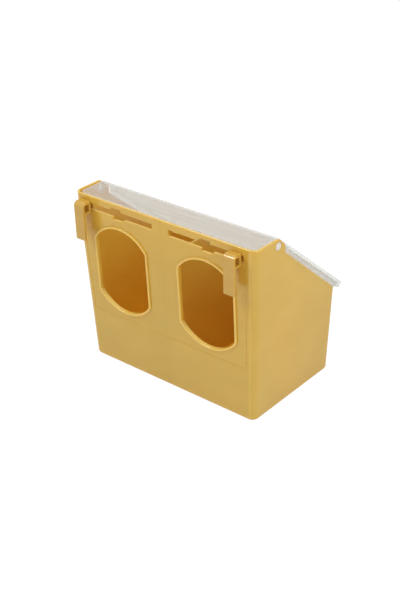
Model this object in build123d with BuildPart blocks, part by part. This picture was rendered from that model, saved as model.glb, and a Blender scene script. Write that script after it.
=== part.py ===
from build123d import *
import os
from math import atan2, cos, hypot, radians, sin, tan

# Twin pigeon feeder: a drafted hopper with two windows, a hinged lid pinned in
# its two ears, and two hooks that slide in slots under the front rim.
# Millimetres. The origin is the centre of the base, +Z is up, +X runs along the
# length and the windows face -Y.

# Hopper
BASE_LENGTH = 188.7
BASE_DEPTH = 112.5
RIM_HEIGHT = 166.6
BACK_HEIGHT = 82.1
DRAFT = 2.04
WALL = 2.2
FLOOR = 2.2
BASE_CORNER_RADIUS = 6.6
RIM_CORNER_RADIUS = 7.6
BASE_EDGE_RADIUS = 3.0
FLOOR_EDGE_RADIUS = 1.5
RIM_EDGE_RADIUS = 0.7

# Ears, measured from the hinge axis
PIVOT_BEHIND_RIM = 30.8
PIVOT_BELOW_RIM = 6.4
EAR_BEHIND_PIVOT = 9.9
EAR_SHOULDER_BELOW_PIVOT = 2.4
EAR_FOOT_BELOW_PIVOT = 9.2
RIM_END_BEHIND_PIVOT = 0.8
EAR_RADIUS = 5.0
EAR_FOOT_RADIUS = 1.6

# Partition between the two compartments
PARTITION = 1.8
PARTITION_BELOW_RIM = 36.4
PARTITION_BELOW_SLOPE = 3.0

# Windows, with straight sides between two arcs
WINDOW_FROM_MIDDLE = 18.7
WINDOW_WIDTH = 58.4
WINDOW_SIDES_BELOW_RIM = 38.7
WINDOW_SIDE_LENGTH = 52.1
WINDOW_ARC_RISE = 15.3
WINDOW_CORNER_RADIUS = 1.5
LIP_WIDTH = 1.9
LIP_PROUD = 1.5
LIP_EDGE_RADIUS = 0.5

# Hook slots, each with a keyhole where a hook goes in
SLOT_BELOW_RIM = 9.5
SLOT_HEIGHT = 6.2
SLOT_INNER_END = 8.8
SLOT_OUTER_END = 88.6
KEYHOLE_MIDDLE = 49.4
KEYHOLE_WIDTH = 9.9
KEYHOLE_HEIGHT = 11.2
KEYHOLE_RAMP = 3.5

# Witness line of the mould insert on the front wall
WITNESS_BELOW_WINDOWS = 7.8
WITNESS_BELOW_RIM = 2.6
WITNESS_FROM_SIDE = 8.2
WITNESS_WIDTH = 0.5
WITNESS_DEPTH = 0.25

# Hooks
HOOK_WIDTH = 11.2
HOOK_HEAD_DEPTH = 9.6
HOOK_HEAD_HEIGHT = 11.4
HOOK_HEAD_WALL = 2.1
HOOK_HEAD_TOP = 2.6
HOOK_HEIGHT = 35.3
HOOK_BLADE = 2.3
HOOK_TOP_ABOVE_SLOT_MIDDLE = 5.2
HOOK_EDGE_RADIUS = 0.4
HOOK_SHOULDER_RADIUS = 4.0
NECK_WIDTH = 4.0
HEEL_THICKNESS = 1.2
HEEL_WIDTH = 9.3
HEEL_HEIGHT = 10.2
HOOK_CLEARANCE = 0.3
HOOK_LEFT_PLACE = -85.6
HOOK_RIGHT_PLACE = 80.9

# Lid, with the flap's distances measured down its slope from the ridge
LID_THICKNESS = 1.6
LID_BELOW_RIM = 1.1
LID_BEHIND_HEELS = 0.9
LID_ABOVE_BACK = 10.1
LID_BEHIND_BACK = 8.5
RIDGE_BEHIND_PIVOT = 3.3
RIDGE_RADIUS = 5.0
LID_CLEARANCE = 0.3
LID_CORNER_RADIUS = 3.5
FLANGE_INSIDE_RIM = 1.8
FLANGE_START = 19.7
FLANGE_CORNER_RADIUS = 3.5
FLANGE_EDGE_RADIUS = 0.9
LIP_THICKNESS = 1.8
SIDE_LIP_DEPTH = 2.8
REAR_LIP_DEPTH = 6.0
REAR_LIP_REACH = 8.0
REAR_LIP_EDGE_RADIUS = 1.4
SKIRT_THICKNESS = 1.4
SKIRT_CLEARANCE = 0.8
SKIRT_BELOW_SLOPE = 3.0
SKIRT_REST_GAP = 0.15
PIN_RADIUS = 3.7
PIN_CLEARANCE = 0.08
PIN_SHORT = 0.2
PIN_EDGE = 0.4
BOSS_RADIUS = 4.9
BOSS_THICKNESS = 2.4
GUSSET_REACH = 12.5
GUSSET_BEHIND_RIDGE = 6.5

TAPER = tan(radians(DRAFT))
SPARE = 6.0


def half_length(z):
    """Half of the hopper's outer length at a height."""
    return BASE_LENGTH / 2 + z * TAPER


def half_depth(z):
    """Half of the hopper's outer depth at a height."""
    return BASE_DEPTH / 2 + z * TAPER


def corner_radius(z):
    """Outer radius of the hopper's upright corners at a height."""
    return BASE_CORNER_RADIUS + (RIM_CORNER_RADIUS - BASE_CORNER_RADIUS) * z / RIM_HEIGHT


# Hinge axis, and the sloping edge of the side walls
PIVOT_Y = PIVOT_BEHIND_RIM - half_depth(RIM_HEIGHT)
PIVOT_Z = RIM_HEIGHT - PIVOT_BELOW_RIM
SLOPE_Y = PIVOT_Y + EAR_BEHIND_PIVOT
SLOPE_Z = PIVOT_Z - EAR_FOOT_BELOW_PIVOT
BACK_Y = half_depth(BACK_HEIGHT)
SLOPE_FALL = (SLOPE_Z - BACK_HEIGHT) / (BACK_Y - SLOPE_Y)
SLOPE_STRETCH = hypot(1, SLOPE_FALL)

# Heights on the front wall, taken down from the rim
PARTITION_TOP = RIM_HEIGHT - PARTITION_BELOW_RIM
SLOT_MIDDLE = RIM_HEIGHT - SLOT_BELOW_RIM
WINDOW_SIDE_HIGH = RIM_HEIGHT - WINDOW_SIDES_BELOW_RIM
WINDOW_SIDE_LOW = WINDOW_SIDE_HIGH - WINDOW_SIDE_LENGTH
WITNESS_LOW = WINDOW_SIDE_LOW - WINDOW_ARC_RISE - WITNESS_BELOW_WINDOWS
WITNESS_HIGH = RIM_HEIGHT - WITNESS_BELOW_RIM
WINDOW_MIDDLE = WINDOW_FROM_MIDDLE + WINDOW_WIDTH / 2


def slope_height(y, below=0.0):
    """Height, at a depth, of the walls' slope or of a line parallel to it and square below it."""
    return SLOPE_Z - SLOPE_FALL * (y - SLOPE_Y) - below * SLOPE_STRETCH


def up_wall(z):
    """Distance up a drafted wall to a height."""
    return z / cos(radians(DRAFT))


# The outer face of the front wall, with its local Y running up the wall
FRONT_FACE = Plane(
    origin=(0, -half_depth(0), 0),
    x_dir=(1, 0, 0),
    z_dir=(0, -cos(radians(DRAFT)), -sin(radians(DRAFT))),
)


def drafted_block(low, high, inset):
    """The hopper's outline between two heights, inset from its outer faces."""
    with BuildPart() as block:
        for z in (low, high):
            with BuildSketch(Plane.XY.offset(z)):
                RectangleRounded(
                    2 * (half_length(z) - inset), 2 * (half_depth(z) - inset), corner_radius(z) - inset
                )
        loft(ruled=True)
    return block.part


# Side profile of the hopper, as depth and height: level rim, ear, slope
FRONT_END = -half_depth(RIM_HEIGHT) - SPARE
BACK_END = BACK_Y + SPARE
with BuildLine() as rim_line:
    FilletPolyline(
        (FRONT_END, RIM_HEIGHT),
        (PIVOT_Y + RIM_END_BEHIND_PIVOT, RIM_HEIGHT),
        (SLOPE_Y, PIVOT_Z - EAR_SHOULDER_BELOW_PIVOT),
        (SLOPE_Y, SLOPE_Z),
        (BACK_END, slope_height(BACK_END)),
        radius=(EAR_RADIUS, EAR_RADIUS, EAR_FOOT_RADIUS),
    )


def on_rim(edge):
    """True for an edge that runs along the rim, inside or outside, and not across the wall."""
    ends = (edge @ 0, edge @ 0.5, edge @ 1)
    if any(rim_line.line.distance_to(Vertex(p.Y, p.Z, 0)) > 0.01 for p in ends):
        return False
    return abs((edge % 0.5).X) < 0.9 or edge.length > 3 * WALL


with BuildPart() as cavity:
    add(drafted_block(FLOOR, RIM_HEIGHT + SPARE, WALL))
    fillet(cavity.faces().sort_by(Axis.Z)[0].edges(), FLOOR_EDGE_RADIUS)

with BuildSketch() as window_opening:
    with BuildLine():
        HALF_WINDOW = WINDOW_WIDTH / 2
        Line((-HALF_WINDOW, WINDOW_SIDE_LOW), (-HALF_WINDOW, WINDOW_SIDE_HIGH))
        ThreePointArc(
            (-HALF_WINDOW, WINDOW_SIDE_HIGH),
            (0, WINDOW_SIDE_HIGH + WINDOW_ARC_RISE),
            (HALF_WINDOW, WINDOW_SIDE_HIGH),
        )
        Line((HALF_WINDOW, WINDOW_SIDE_HIGH), (HALF_WINDOW, WINDOW_SIDE_LOW))
        ThreePointArc(
            (HALF_WINDOW, WINDOW_SIDE_LOW),
            (0, WINDOW_SIDE_LOW - WINDOW_ARC_RISE),
            (-HALF_WINDOW, WINDOW_SIDE_LOW),
        )
    make_face()
    fillet(window_opening.vertices(), WINDOW_CORNER_RADIUS)

with BuildSketch() as keyhole:
    # A ramp leads up into one upper corner and, the other way, into one lower corner
    half_width = KEYHOLE_WIDTH / 2
    half_height = KEYHOLE_HEIGHT / 2
    half_slot = SLOT_HEIGHT / 2
    for turn in (1, -1):
        with BuildLine():
            Polyline(
                (turn * (half_width + KEYHOLE_RAMP), -turn * half_slot),
                (turn * half_width, -turn * half_height),
                (-turn * half_width, -turn * half_height),
                (-turn * half_width, -turn * half_slot),
                close=True,
            )
        make_face()
    Rectangle(KEYHOLE_WIDTH, SLOT_HEIGHT)

with BuildPart() as hopper:
    # Outer shape, trimmed to the side profile
    add(drafted_block(0, RIM_HEIGHT + SPARE, 0))
    fillet(hopper.faces().sort_by(Axis.Z)[0].edges(), BASE_EDGE_RADIUS)
    with BuildSketch(Plane.YZ):
        with BuildLine():
            add(rim_line.line)
            Polyline(
                (BACK_END, slope_height(BACK_END)),
                (BACK_END, -SPARE),
                (FRONT_END, -SPARE),
                (FRONT_END, RIM_HEIGHT),
            )
        make_face()
    extrude(amount=half_length(RIM_HEIGHT) + SPARE, both=True, mode=Mode.INTERSECT)
    add(cavity.part, mode=Mode.SUBTRACT)
    fillet(hopper.edges().filter_by(on_rim), RIM_EDGE_RADIUS)

    # Partition, level at the front and below the slope behind
    with BuildSketch(Plane.YZ):
        with BuildLine():
            front_foot = -half_depth(0) + WALL / 2
            front_top = -half_depth(PARTITION_TOP) + WALL / 2
            back_foot = half_depth(0) - WALL / 2
            back_top = BACK_Y - WALL / 2
            level_fall = slope_height(SLOPE_Y, PARTITION_BELOW_SLOPE) - PARTITION_TOP
            Polyline(
                (front_foot, FLOOR / 2),
                (front_top, PARTITION_TOP),
                (SLOPE_Y + level_fall / SLOPE_FALL, PARTITION_TOP),
                (back_top, slope_height(back_top, PARTITION_BELOW_SLOPE)),
                (back_foot, FLOOR / 2),
                close=True,
            )
        make_face()
    extrude(amount=PARTITION / 2, both=True)

    # Window lips, then the openings
    with BuildSketch(FRONT_FACE):
        with Locations((-WINDOW_MIDDLE, 0), (WINDOW_MIDDLE, 0)):
            add(window_opening.sketch)
        offset(amount=LIP_WIDTH)
    extrude(amount=LIP_PROUD)
    with BuildSketch(FRONT_FACE):
        with Locations((-WINDOW_MIDDLE, 0), (WINDOW_MIDDLE, 0)):
            add(window_opening.sketch)
    extrude(amount=WALL + SPARE, both=True, mode=Mode.SUBTRACT)
    outward = Axis(FRONT_FACE.origin, FRONT_FACE.z_dir)
    lip_faces = hopper.faces().filter_by(FRONT_FACE).sort_by(outward)[-2:]
    fillet(lip_faces.edges(), LIP_EDGE_RADIUS)

    # Hook slots with their keyholes
    with BuildSketch(FRONT_FACE):
        for side in (-1, 1):
            with Locations((side * (SLOT_INNER_END + SLOT_OUTER_END) / 2, up_wall(SLOT_MIDDLE))):
                Rectangle(SLOT_OUTER_END - SLOT_INNER_END, SLOT_HEIGHT)
            with Locations((side * KEYHOLE_MIDDLE, up_wall(SLOT_MIDDLE))):
                add(keyhole.sketch)
    extrude(amount=WALL + SPARE, both=True, mode=Mode.SUBTRACT)

    # Pin holes through both ears
    with BuildSketch(Plane.YZ):
        with Locations((PIVOT_Y, PIVOT_Z)):
            Circle(PIN_RADIUS + PIN_CLEARANCE)
    extrude(amount=half_length(RIM_HEIGHT) + SPARE, both=True, mode=Mode.SUBTRACT)

    # Witness line, down each side of the front wall and across under the windows
    with BuildSketch(FRONT_FACE):
        with BuildLine():
            witness_corners = [
                (side * (half_length(z) - WITNESS_FROM_SIDE), up_wall(z))
                for side, z in ((-1, WITNESS_HIGH), (-1, WITNESS_LOW), (1, WITNESS_LOW), (1, WITNESS_HIGH))
            ]
            Polyline(*witness_corners)
        trace(line_width=WITNESS_WIDTH)
    extrude(amount=-WITNESS_DEPTH, mode=Mode.SUBTRACT)
hopper.part.label = "hopper"

HOOK_TOP = SLOT_MIDDLE + HOOK_TOP_ABOVE_SLOT_MIDDLE
HEAD_BACK = -half_depth(HOOK_TOP) - HOOK_CLEARANCE
HEAD_FRONT = HEAD_BACK - HOOK_HEAD_DEPTH
HEEL_FRONT = WALL - half_depth(SLOT_MIDDLE - HEEL_HEIGHT / 2) + HOOK_CLEARANCE


def hook(place):
    """One hook: a square tubular head, a blade below it, a neck in the slot and a heel behind the wall."""
    with BuildPart() as moulding:
        with BuildSketch(Plane.YZ.offset(place)) as outline:
            with Locations((HEAD_FRONT, HOOK_TOP)):
                Rectangle(HOOK_HEAD_DEPTH, HOOK_HEAD_HEIGHT, align=(Align.MIN, Align.MAX))
                Rectangle(HOOK_BLADE, HOOK_HEIGHT, align=(Align.MIN, Align.MAX))
            front_corners = outline.vertices().group_by(Axis.X)[0]
            fillet(front_corners.sort_by(Axis.Y)[-1], HOOK_SHOULDER_RADIUS)
            hole_height = HOOK_HEAD_HEIGHT - HOOK_HEAD_TOP - HOOK_HEAD_WALL
            with Locations((HEAD_FRONT + HOOK_HEAD_DEPTH / 2, HOOK_TOP - HOOK_HEAD_TOP - hole_height / 2)):
                RectangleRounded(
                    HOOK_HEAD_DEPTH - 2 * HOOK_HEAD_WALL, hole_height, HOOK_EDGE_RADIUS, mode=Mode.SUBTRACT
                )
        extrude(amount=HOOK_WIDTH / 2, both=True)
        fillet(moulding.faces().filter_by(Axis.X).edges(), HOOK_EDGE_RADIUS)
        with BuildSketch(Plane.XZ.offset(-HEAD_BACK)):
            with Locations((place, SLOT_MIDDLE)):
                Rectangle(NECK_WIDTH, SLOT_HEIGHT - 2 * HOOK_CLEARANCE)
        extrude(amount=HEAD_BACK - HEEL_FRONT)
        with BuildSketch(Plane.XZ.offset(-HEEL_FRONT)):
            with Locations((place, SLOT_MIDDLE)):
                RectangleRounded(HEEL_WIDTH, HEEL_HEIGHT, HOOK_EDGE_RADIUS)
        extrude(amount=-HEEL_THICKNESS)
    return moulding.part


hook_left = hook(HOOK_LEFT_PLACE)
hook_left.label = "hook_left"
hook_right = hook(HOOK_RIGHT_PLACE)
hook_right.label = "hook_right"

# Lid: the ridge is where its level apron meets its sloping flap
LID_TOP = RIM_HEIGHT - LID_BELOW_RIM
RIDGE_Y = PIVOT_Y + RIDGE_BEHIND_PIVOT
APRON_FRONT = HEEL_FRONT + HEEL_THICKNESS + LID_BEHIND_HEELS
LID_SLOPE = atan2(LID_TOP - BACK_HEIGHT - LID_ABOVE_BACK, BACK_Y - RIDGE_Y)
DOWN_Y = cos(LID_SLOPE)
DOWN_Z = -sin(LID_SLOPE)
LID_LENGTH = (BACK_Y + LID_BEHIND_BACK - RIDGE_Y) / DOWN_Y
FLANGE_HALF_WIDTH = half_length(RIM_HEIGHT) - FLANGE_INSIDE_RIM
FLAP = Plane(origin=(0, RIDGE_Y, LID_TOP), x_dir=(1, 0, 0), z_dir=(0, -DOWN_Z, DOWN_Y))


def flap_point(along, below=0.0):
    """Depth and height of a point of the flap, down its slope from the ridge and square below its top."""
    return (RIDGE_Y + along * DOWN_Y + below * DOWN_Z, LID_TOP + along * DOWN_Z - below * DOWN_Y)


def reach(y, z):
    """How far a point of the side profile is from the hinge axis."""
    return hypot(y - PIVOT_Y, z - PIVOT_Z)


def room_between_walls(radius):
    """Half of the lid's width that clears the drafted side walls all the way round at a radius."""
    return half_length(PIVOT_Z - radius) - WALL - LID_CLEARANCE


APRON_FRONT_HALF = room_between_walls(reach(APRON_FRONT, LID_TOP))
RIDGE_HALF = room_between_walls(reach(RIDGE_Y, LID_TOP))
BOSS_OUTSIDE = room_between_walls(reach(PIVOT_Y - GUSSET_REACH, LID_TOP))
FLANGE_START_Y = flap_point(FLANGE_START)[0]


def flange_outline(start, inset):
    """The flap's outline on its own plane, with rounded rear corners, inset all round."""
    with BuildSketch() as outline:
        with Locations((0, LID_LENGTH - inset)):
            Rectangle(
                2 * (FLANGE_HALF_WIDTH - inset), LID_LENGTH - inset - start, align=(Align.CENTER, Align.MAX)
            )
        fillet(outline.vertices().group_by(Axis.Y)[-1], FLANGE_CORNER_RADIUS - inset)
    return outline.sketch


FLANGE_RIM = flange_outline(FLANGE_START, 0).face().outer_wire()


def on_flange_rim(edge):
    """True for an outer edge of the flap's sides or rear, on its top or under its rear lip."""
    middle = FLAP.to_local_coords(edge @ 0.5)
    level = min(abs(middle.Z), abs(middle.Z + REAR_LIP_DEPTH)) < 0.01
    outside = FLANGE_RIM.distance_to(Vertex(middle.X, middle.Y, 0)) < 0.01
    return level and outside and middle.Y > FLANGE_START + 0.01


with BuildPart() as lid_outline:
    # Seen from above, the apron fits between the walls and the flap is wider
    with BuildSketch() as apron_outline:
        with BuildLine():
            Polyline(
                (0, APRON_FRONT),
                (APRON_FRONT_HALF, APRON_FRONT),
                (RIDGE_HALF, RIDGE_Y),
                (RIDGE_HALF, FLANGE_START_Y + FLANGE_CORNER_RADIUS),
                (0, FLANGE_START_Y + FLANGE_CORNER_RADIUS),
                close=True,
            )
        make_face()
        front_corners = apron_outline.vertices().group_by(Axis.Y)[0]
        fillet(front_corners.sort_by(Axis.X)[-1], LID_CORNER_RADIUS)
        mirror(about=Plane.YZ)
    extrude(amount=RIM_HEIGHT + SPARE)
    with BuildSketch(FLAP):
        add(flange_outline(FLANGE_START, 0))
    extrude(amount=SPARE, both=True)

with BuildPart() as skirts:
    # Two strips that follow the drafted walls, trimmed below to the hopper's slope
    skirt_start_y = SLOPE_Y + SKIRT_CLEARANCE
    notch_y = BACK_Y - corner_radius(BACK_HEIGHT)
    skirt_start = (skirt_start_y - RIDGE_Y) / DOWN_Y
    skirt_end = LID_LENGTH - LIP_THICKNESS / 2
    start_half, notch_half = (
        half_length(slope_height(y, SKIRT_BELOW_SLOPE)) - WALL - SKIRT_CLEARANCE for y in (skirt_start_y, notch_y)
    )
    with BuildSketch(FLAP):
        with BuildLine():
            Polyline(
                (start_half, skirt_start),
                (notch_half, (notch_y - RIDGE_Y) / DOWN_Y),
                (notch_half, skirt_end),
                (notch_half - SKIRT_THICKNESS, skirt_end),
                (notch_half - SKIRT_THICKNESS, (notch_y - RIDGE_Y) / DOWN_Y),
                (start_half - SKIRT_THICKNESS, skirt_start),
                close=True,
            )
        make_face()
        mirror(about=Plane.YZ)
    extrude(amount=-3 * REAR_LIP_DEPTH)
    with BuildSketch(Plane.YZ):
        with BuildLine():
            Polyline(
                (skirt_start_y, slope_height(skirt_start_y, SKIRT_BELOW_SLOPE)),
                (notch_y, slope_height(notch_y, SKIRT_BELOW_SLOPE)),
                (notch_y, slope_height(notch_y, -SKIRT_REST_GAP)),
                (BACK_Y, slope_height(BACK_Y, -SKIRT_REST_GAP)),
                flap_point(skirt_end, REAR_LIP_DEPTH),
                flap_point(LID_LENGTH, LID_THICKNESS / 2),
                flap_point(skirt_start, LID_THICKNESS / 2),
                close=True,
            )
        make_face()
    extrude(amount=FLANGE_HALF_WIDTH, both=True, mode=Mode.INTERSECT)

with BuildPart() as lid:
    # Bent plate: apron, ridge and flap
    with BuildSketch(Plane.YZ):
        with BuildLine():
            FilletPolyline(
                (APRON_FRONT, LID_TOP), (RIDGE_Y, LID_TOP), flap_point(LID_LENGTH), radius=RIDGE_RADIUS
            )
            offset(amount=LID_THICKNESS, side=Side.RIGHT)
        make_face()
    extrude(amount=FLANGE_HALF_WIDTH, both=True)
    add(lid_outline.part, mode=Mode.INTERSECT)

    # Lips turned down along the flap's sides and, deeper, along its rear
    for lip_start, lip_depth in ((FLANGE_START, SIDE_LIP_DEPTH), (LID_LENGTH - REAR_LIP_REACH, REAR_LIP_DEPTH)):
        with BuildSketch(FLAP):
            add(flange_outline(lip_start, 0))
            add(flange_outline(lip_start - SPARE, LIP_THICKNESS), mode=Mode.SUBTRACT)
        extrude(amount=-lip_depth)
    upward = Axis(FLAP.origin, FLAP.z_dir)
    fillet(lid.edges().filter_by(on_flange_rim).group_by(upward)[0], REAR_LIP_EDGE_RADIUS)
    fillet(lid.edges().filter_by(on_flange_rim).group_by(upward)[-1], FLANGE_EDGE_RADIUS)
    add(skirts.part)

    # Gusseted bosses at both ends of the ridge, with the hinge pins
    for side in (-1, 1):
        with BuildSketch(Plane.YZ.offset(side * BOSS_OUTSIDE)):
            with Locations((PIVOT_Y, PIVOT_Z)):
                Circle(BOSS_RADIUS)
            with BuildLine():
                Polyline(
                    (PIVOT_Y - GUSSET_REACH, LID_TOP - LID_THICKNESS / 2),
                    (RIDGE_Y, LID_TOP - LID_THICKNESS / 2),
                    flap_point(GUSSET_BEHIND_RIDGE, LID_THICKNESS / 2),
                )
            make_hull()
        extrude(amount=-side * BOSS_THICKNESS)
        with BuildSketch(Plane.YZ.offset(side * (BOSS_OUTSIDE - BOSS_THICKNESS / 2))):
            with Locations((PIVOT_Y, PIVOT_Z)):
                Circle(PIN_RADIUS)
        pin_end = half_length(PIVOT_Z) - PIN_SHORT
        extrude(amount=side * (pin_end - BOSS_OUTSIDE + BOSS_THICKNESS / 2))
        pin_face = lid.faces().sort_by_distance((side * pin_end, PIVOT_Y, PIVOT_Z))[0]
        chamfer(pin_face.edges(), PIN_EDGE)
lid.part.label = "lid"

os.makedirs("parts", exist_ok=True)
for piece in (hopper.part, lid.part, hook_left, hook_right):
    export_step(piece, "parts/" + piece.label + ".step")
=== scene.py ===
import bpy
from mathutils import Matrix, Vector

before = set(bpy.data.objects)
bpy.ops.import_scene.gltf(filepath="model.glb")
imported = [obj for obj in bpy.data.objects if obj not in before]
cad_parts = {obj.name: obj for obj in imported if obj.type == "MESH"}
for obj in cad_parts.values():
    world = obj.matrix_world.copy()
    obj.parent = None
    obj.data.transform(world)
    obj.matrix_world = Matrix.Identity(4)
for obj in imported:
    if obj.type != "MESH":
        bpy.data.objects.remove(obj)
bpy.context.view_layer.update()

# Pigeon feeder: the moulded hopper, its translucent lid and its two hooks keep
# their CAD shapes and get moulded-plastic finishes here. Metres throughout.
scene = bpy.context.scene

# Camera
CAMERA_PLACE = Vector((0.559298, -0.664678, 0.549386))
CAMERA_RIGHT = Vector((0.766975, 0.641274, -0.022731))
CAMERA_UP = Vector((-0.298002, 0.387340, 0.872446))
CAMERA_LENS = 65.69

# Studio light: an even white surround, a soft key from the upper left and a fill from the right
SURROUND = 0.50
LAMPS = (
    ("key", (-0.75, -0.95, 1.25), 0.55, 10.5),
    ("fill", (1.35, -0.25, 0.75), 0.9, 9.0),
    ("top", (0.1, 0.15, 1.5), 1.0, 7.0),
)
LAMP_AIM = Vector((0, 0, 0.1))
FLOOR_SHADOW = 0.2
FLOOR_WHITE = 1.15

# Colours, linear. Each mustard has its usual, its pale and its deep pigment
HOPPER_MUSTARD = ((0.665, 0.545, 0.084, 1), (0.69, 0.575, 0.096, 1), (0.64, 0.51, 0.072, 1))
HOPPER_GLOW = (0.90, 0.46, 0.004, 1)
# Painted highlight colour for the window lips, the witness groove and upward-facing faces
HOPPER_PAINTED_HIGHLIGHT = (0.92, 0.79, 0.18, 1)
HOOK_MUSTARD = ((0.61, 0.395, 0.050, 1), (0.635, 0.42, 0.060, 1), (0.585, 0.37, 0.042, 1))
HOOK_GLOW = (0.86, 0.40, 0.008, 1)
SPECK = (0.10, 0.055, 0.015, 1)
MILK = (0.78, 0.815, 0.80, 1)
MILK_CLOUD = (0.74, 0.77, 0.755, 1)
# Painted highlight colour for the lid's front-facing faces, side lips and skirts
MILK_PAINTED_HIGHLIGHT = (0.90, 0.91, 0.90, 1)
CLEAR = (0.99, 0.985, 0.975, 1)
FLOOR_PAINT = (0.9, 0.9, 0.9, 1)

# Sheen of the mustard plastic, its roughness from smooth to worn, and the share that lets light through
MUSTARD_IOR = 1.75
HOPPER_ROUGHNESS = (0.12, 0.17)
HOOK_ROUGHNESS = (0.16, 0.20)
HOPPER_GLOW_SHARE = 0.42
HOOK_GLOW_SHARE = 0.28

# Sheen of the milky sheet, and how much of it is clear outside its streaks and in them
MILK_IOR = 1.49
MILK_ROUGHNESS = (0.22, 0.30)
MILK_GLOW_SHARE = 0.5
CLEAR_SHARES = (0.83, 0.80)
CLEAR_IN_DENSE = 0.15
LEAST_FACING = 0.15

# Dark specks moulded into the hopper's plastic, with their radii
SPECKS = (
    ((0.0985, -0.0415, 0.0715), 0.0005),
    ((0.0845, -0.0595, 0.0985), 0.0004),
    ((-0.0455, -0.0575, 0.0350), 0.0003),
)
# Half-width of the darker band down the middle of the front wall
DARK_BAND_HALF_WIDTH = 0.0022

# The front wall's outer face, for what stands proud of it or is cut into it
FRONT_AT_BASE = 0.05625
FRONT_TAPER = 0.03562
LIP_STARTS = 0.0003
LIP_FULL = 0.0009
GROOVE_FLOOR = -0.00025
GROOVE_MARGIN = 0.00006
# Share of the painted highlight colour on the lips, the witness groove and upward-facing faces
HOPPER_HIGHLIGHT_SHARE = 0.85
# How far the band down the front wall's middle is darkened towards the deep pigment
DARK_BAND_SHARE = 0.5
HOPPER_FLOOR = 0.01
INNER_SIDE_OF_FRONT = -0.05

# The lid's skirts lie nearer the middle than this, and its side lips farther out.
# The skirts' side faces get this share of the lips' density and painted highlight
SKIRT_OUTSIDE = 0.0966
SKIRT_DENSITY_AND_HIGHLIGHT = 0.22
# How much of the painted highlight colour those denser places take
LID_HIGHLIGHT_SHARE = 0.7


class Nodes:
    """A material's node tree, with short calls for the nodes used below."""

    def __init__(self, name):
        self.material = bpy.data.materials.new(name)
        self.material.use_nodes = True
        self.tree = self.material.node_tree
        self.tree.nodes.clear()
        self.output = self.add("ShaderNodeOutputMaterial")
        coordinates = self.add("ShaderNodeTexCoord")
        self.place = coordinates.outputs["Object"]
        self.facing = coordinates.outputs["Normal"]

    def add(self, kind, **settings):
        node = self.tree.nodes.new(kind)
        for key, value in settings.items():
            setattr(node, key, value)
        return node

    def feed(self, socket, value):
        if isinstance(value, bpy.types.NodeSocket):
            self.tree.links.new(value, socket)
        else:
            socket.default_value = value

    def math(self, operation, first, second=0.0, third=0.0):
        node = self.add("ShaderNodeMath", operation=operation)
        for socket, value in zip(node.inputs, (first, second, third)):
            self.feed(socket, value)
        return node.outputs[0]

    def smooth(self, value, low, high, to_low=0.0, to_high=1.0):
        node = self.add("ShaderNodeMapRange", interpolation_type="SMOOTHSTEP")
        for socket, setting in zip(node.inputs, (value, low, high, to_low, to_high)):
            self.feed(socket, setting)
        return node.outputs[0]

    def split(self, vector):
        node = self.add("ShaderNodeSeparateXYZ")
        self.feed(node.inputs[0], vector)
        return node.outputs

    def noise(self, scale, detail=2.0, stretch=(1, 1, 1)):
        mapping = self.add("ShaderNodeMapping")
        self.feed(mapping.inputs["Vector"], self.place)
        mapping.inputs["Scale"].default_value = stretch
        node = self.add("ShaderNodeTexNoise")
        self.feed(node.inputs["Vector"], mapping.outputs[0])
        node.inputs["Scale"].default_value = scale
        node.inputs["Detail"].default_value = detail
        return node.outputs["Fac"]

    def mix(self, share, first, second):
        node = self.add("ShaderNodeMix", data_type="RGBA")
        self.feed(node.inputs["Factor"], share)
        self.feed(node.inputs["A"], first)
        self.feed(node.inputs["B"], second)
        return node.outputs["Result"]

    def bump(self, height, distance, strength, below=None):
        node = self.add("ShaderNodeBump")
        node.inputs["Distance"].default_value = distance
        node.inputs["Strength"].default_value = strength
        self.feed(node.inputs["Height"], height)
        if below is not None:
            self.feed(node.inputs["Normal"], below)
        return node.outputs[0]

    def principled(self, **inputs):
        node = self.add("ShaderNodeBsdfPrincipled")
        for name, value in inputs.items():
            self.feed(node.inputs[name.replace("_", " ")], value)
        return node.outputs[0]

    def translucent(self, colour):
        node = self.add("ShaderNodeBsdfTranslucent")
        self.feed(node.inputs["Color"], colour)
        return node.outputs[0]

    def mix_shader(self, share, first, second):
        node = self.add("ShaderNodeMixShader")
        self.feed(node.inputs[0], share)
        self.feed(node.inputs[1], first)
        self.feed(node.inputs[2], second)
        return node.outputs[0]

    def finish(self, shader):
        self.feed(self.output.inputs["Surface"], shader)
        return self.material


def mustard_plastic(name, pigments, glow, glow_share, roughness, details=None):
    """Satin mustard polypropylene that glows where it is lit from behind."""
    n = Nodes(name)
    usual, pale, deep = pigments
    cloud = n.smooth(n.noise(22, 3), 0.35, 0.65)
    streak = n.smooth(n.noise(60, 2, (0.25, 1, 1.6)), 0.4, 0.62)
    colour = n.mix(cloud, usual, pale)
    colour = n.mix(n.math("MULTIPLY", streak, 0.35), colour, deep)
    if details:
        colour = details(n, colour, deep)
    surface = n.bump(n.noise(90, 1), 0.0006, 0.03)
    surface = n.bump(n.noise(2600, 2), 0.00006, 0.10, surface)
    skin = n.principled(
        Base_Color=colour,
        Roughness=n.smooth(n.noise(140, 3), 0.3, 0.7, *roughness),
        IOR=MUSTARD_IOR,
        Normal=surface,
    )
    return n.finish(n.mix_shader(glow_share, skin, n.translucent(glow)))


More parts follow.
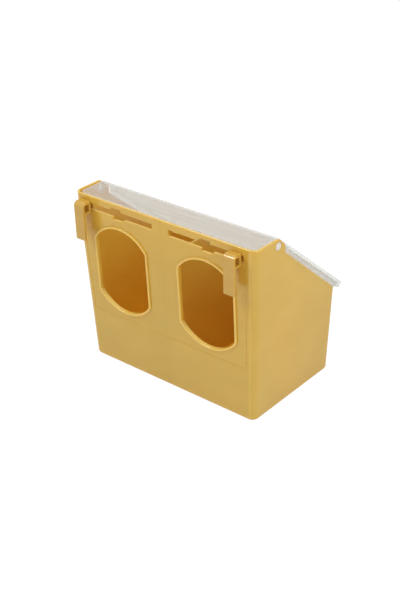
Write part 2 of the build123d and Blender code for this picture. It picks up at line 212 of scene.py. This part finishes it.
def hopper_details(n, colour, deep):
    """Painted highlight on the window lips, the witness groove and upward-facing faces, a darker band down
    the middle of the front wall, and dark specks.
    """
    place = n.split(n.place)
    facing = n.split(n.facing)
    proud = n.math("SUBTRACT", n.math("MULTIPLY", place["Y"], -1.0), FRONT_AT_BASE)
    proud = n.math("SUBTRACT", proud, n.math("MULTIPLY", place["Z"], FRONT_TAPER))
    # Painted highlight: the lips, the witness groove's floor and upward-facing faces above the hopper floor
    # are drawn paler, as if lit from above
    lip = n.smooth(proud, LIP_STARTS, LIP_FULL)
    groove = n.math("COMPARE", proud, GROOVE_FLOOR, GROOVE_MARGIN)
    rim = n.smooth(facing["Z"], 0.55, 0.85)
    above_floor = n.math("GREATER_THAN", place["Z"], HOPPER_FLOOR)
    painted_highlight = n.math("MAXIMUM", n.math("MAXIMUM", lip, groove), n.math("MULTIPLY", rim, above_floor))
    colour = n.mix(n.math("MULTIPLY", painted_highlight, HOPPER_HIGHLIGHT_SHARE), colour, HOPPER_PAINTED_HIGHLIGHT)
    # A darker band down the middle of the front wall
    from_middle = n.math("ABSOLUTE", place["X"])
    band = n.smooth(from_middle, 0.0, DARK_BAND_HALF_WIDTH, 1.0, 0.0)
    in_front = n.math("LESS_THAN", place["Y"], INNER_SIDE_OF_FRONT)
    colour = n.mix(n.math("MULTIPLY", n.math("MULTIPLY", band, in_front), DARK_BAND_SHARE), colour, deep)
    for spot, radius in SPECKS:
        away = n.add("ShaderNodeVectorMath", operation="DISTANCE")
        n.feed(away.inputs[0], n.place)
        away.inputs[1].default_value = spot
        dark = n.smooth(away.outputs["Value"], radius * 0.5, radius * 1.5, 0.8, 0.0)
        colour = n.mix(dark, colour, SPECK)
    return colour


def milky_plastic():
    """Milky translucent polypropylene: a hazy skin over a sheet that shows what is behind it."""
    n = Nodes("lid_milky")
    cloud = n.smooth(n.noise(18, 3, (0.4, 1, 1)), 0.35, 0.7)
    streak = n.smooth(n.noise(120, 2, (0.06, 1, 1)), 0.45, 0.65)
    facing = n.split(n.facing)
    # Denser sheet on front-facing faces, the side lips and the skirts' side faces, drawn paler there as
    # painted highlight
    front_edge = n.smooth(facing["Y"], -0.9, -0.7, 1.0, 0.0)
    on_lip = n.math("GREATER_THAN", n.math("ABSOLUTE", n.split(n.place)["X"]), SKIRT_OUTSIDE)
    side_on = n.smooth(n.math("ABSOLUTE", facing["X"]), 0.6, 0.8)
    on_skirt = n.math("MULTIPLY", side_on, SKIRT_DENSITY_AND_HIGHLIGHT)
    dense_and_highlit = n.math("MAXIMUM", n.math("MAXIMUM", front_edge, on_lip), on_skirt)
    colour = n.mix(n.math("MULTIPLY", dense_and_highlit, LID_HIGHLIGHT_SHARE), n.mix(cloud, MILK, MILK_CLOUD), MILK_PAINTED_HIGHLIGHT)
    surface = n.bump(n.noise(70, 2, (0.3, 1, 1)), 0.0008, 0.05)
    surface = n.bump(n.noise(2200, 2), 0.00006, 0.12, surface)
    skin = n.principled(
        Base_Color=colour,
        Roughness=n.smooth(streak, 0.0, 1.0, *MILK_ROUGHNESS),
        IOR=MILK_IOR,
        Normal=surface,
    )
    haze = n.mix_shader(MILK_GLOW_SHARE, skin, n.translucent(colour))
    clear = n.add("ShaderNodeBsdfTransparent")
    clear.inputs["Color"].default_value = CLEAR
    # A slanting look goes through more of the sheet, and so through more haze
    slant = n.add("ShaderNodeLayerWeight").outputs["Facing"]
    path = n.math("DIVIDE", 1.0, n.math("MAXIMUM", n.math("SUBTRACT", 1.0, slant), LEAST_FACING))
    clear_share = n.math("POWER", n.smooth(streak, 0.0, 1.0, *CLEAR_SHARES), path)
    clear_share = n.math("MULTIPLY", clear_share, n.smooth(dense_and_highlit, 0.0, 1.0, 1.0, CLEAR_IN_DENSE))
    return n.finish(n.mix_shader(clear_share, haze, clear.outputs[0]))


def dress(node, material):
    """Gives every material slot of a CAD node one finish."""
    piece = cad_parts[node]
    if not piece.material_slots:
        piece.data.materials.append(material)
    for slot in piece.material_slots:
        slot.material = material


hopper_plastic = mustard_plastic(
    "hopper_mustard", HOPPER_MUSTARD, HOPPER_GLOW, HOPPER_GLOW_SHARE, HOPPER_ROUGHNESS, hopper_details
)
dress("hopper", hopper_plastic)
hook_plastic = mustard_plastic("hook_mustard", HOOK_MUSTARD, HOOK_GLOW, HOOK_GLOW_SHARE, HOOK_ROUGHNESS)
dress("hook_left", hook_plastic)
dress("hook_right", hook_plastic)
dress("lid", milky_plastic())

# Camera at the photograph's viewing angle
camera_data = bpy.data.cameras.new("camera")
camera_data.lens = CAMERA_LENS
camera_data.sensor_width = 36
camera = bpy.data.objects.new("camera", camera_data)
scene.collection.objects.link(camera)
back = CAMERA_RIGHT.cross(CAMERA_UP).normalized()
turn = Matrix((CAMERA_RIGHT, CAMERA_UP, back)).transposed()
camera.matrix_world = Matrix.Translation(CAMERA_PLACE) @ turn.to_4x4()
scene.camera = camera

# Soft studio lamps
for name, place, size, power in LAMPS:
    lamp_data = bpy.data.lights.new(name, "AREA")
    lamp_data.shape = "DISK"
    lamp_data.size = size
    lamp_data.energy = power
    lamp = bpy.data.objects.new(name, lamp_data)
    lamp.location = place
    lamp.rotation_euler = (LAMP_AIM - lamp.location).to_track_quat("-Z", "Y").to_euler()
    scene.collection.objects.link(lamp)


def seen_directly(tree):
    """A socket that is 1 for camera, glossy and transmission rays, and 0 for light that falls on things."""
    path = tree.nodes.new("ShaderNodeLightPath")
    total = path.outputs["Is Camera Ray"]
    for name in ("Is Glossy Ray", "Is Transmission Ray"):
        both = tree.nodes.new("ShaderNodeMath")
        both.operation = "MAXIMUM"
        tree.links.new(total, both.inputs[0])
        tree.links.new(path.outputs[name], both.inputs[1])
        total = both.outputs[0]
    return total


# White surround: plain white where it is seen, softer as light
world = bpy.data.worlds.new("surround")
world.use_nodes = True
scene.world = world
tree = world.node_tree
light = tree.nodes["Background"]
light.inputs["Color"].default_value = (1, 1, 1, 1)
strength = tree.nodes.new("ShaderNodeMapRange")
strength.inputs["To Min"].default_value = SURROUND
strength.inputs["To Max"].default_value = 1.0
tree.links.new(seen_directly(tree), strength.inputs["Value"])
tree.links.new(strength.outputs[0], light.inputs["Strength"])

# Pale floor: white where it is seen, apart from the object's soft shadow
floor_nodes = Nodes("floor")
paint = floor_nodes.add("ShaderNodeBsdfDiffuse")
paint.inputs["Color"].default_value = FLOOR_PAINT
white = floor_nodes.add("ShaderNodeEmission")
white.inputs["Strength"].default_value = FLOOR_WHITE
floor_share = floor_nodes.math("MULTIPLY", seen_directly(floor_nodes.tree), 1 - FLOOR_SHADOW)
bpy.ops.mesh.primitive_plane_add(size=8)
floor = bpy.context.object
floor.name = "floor"
floor.data.materials.append(
    floor_nodes.finish(floor_nodes.mix_shader(floor_share, paint.outputs[0], white.outputs[0]))
)

scene.view_settings.view_transform = "Standard"
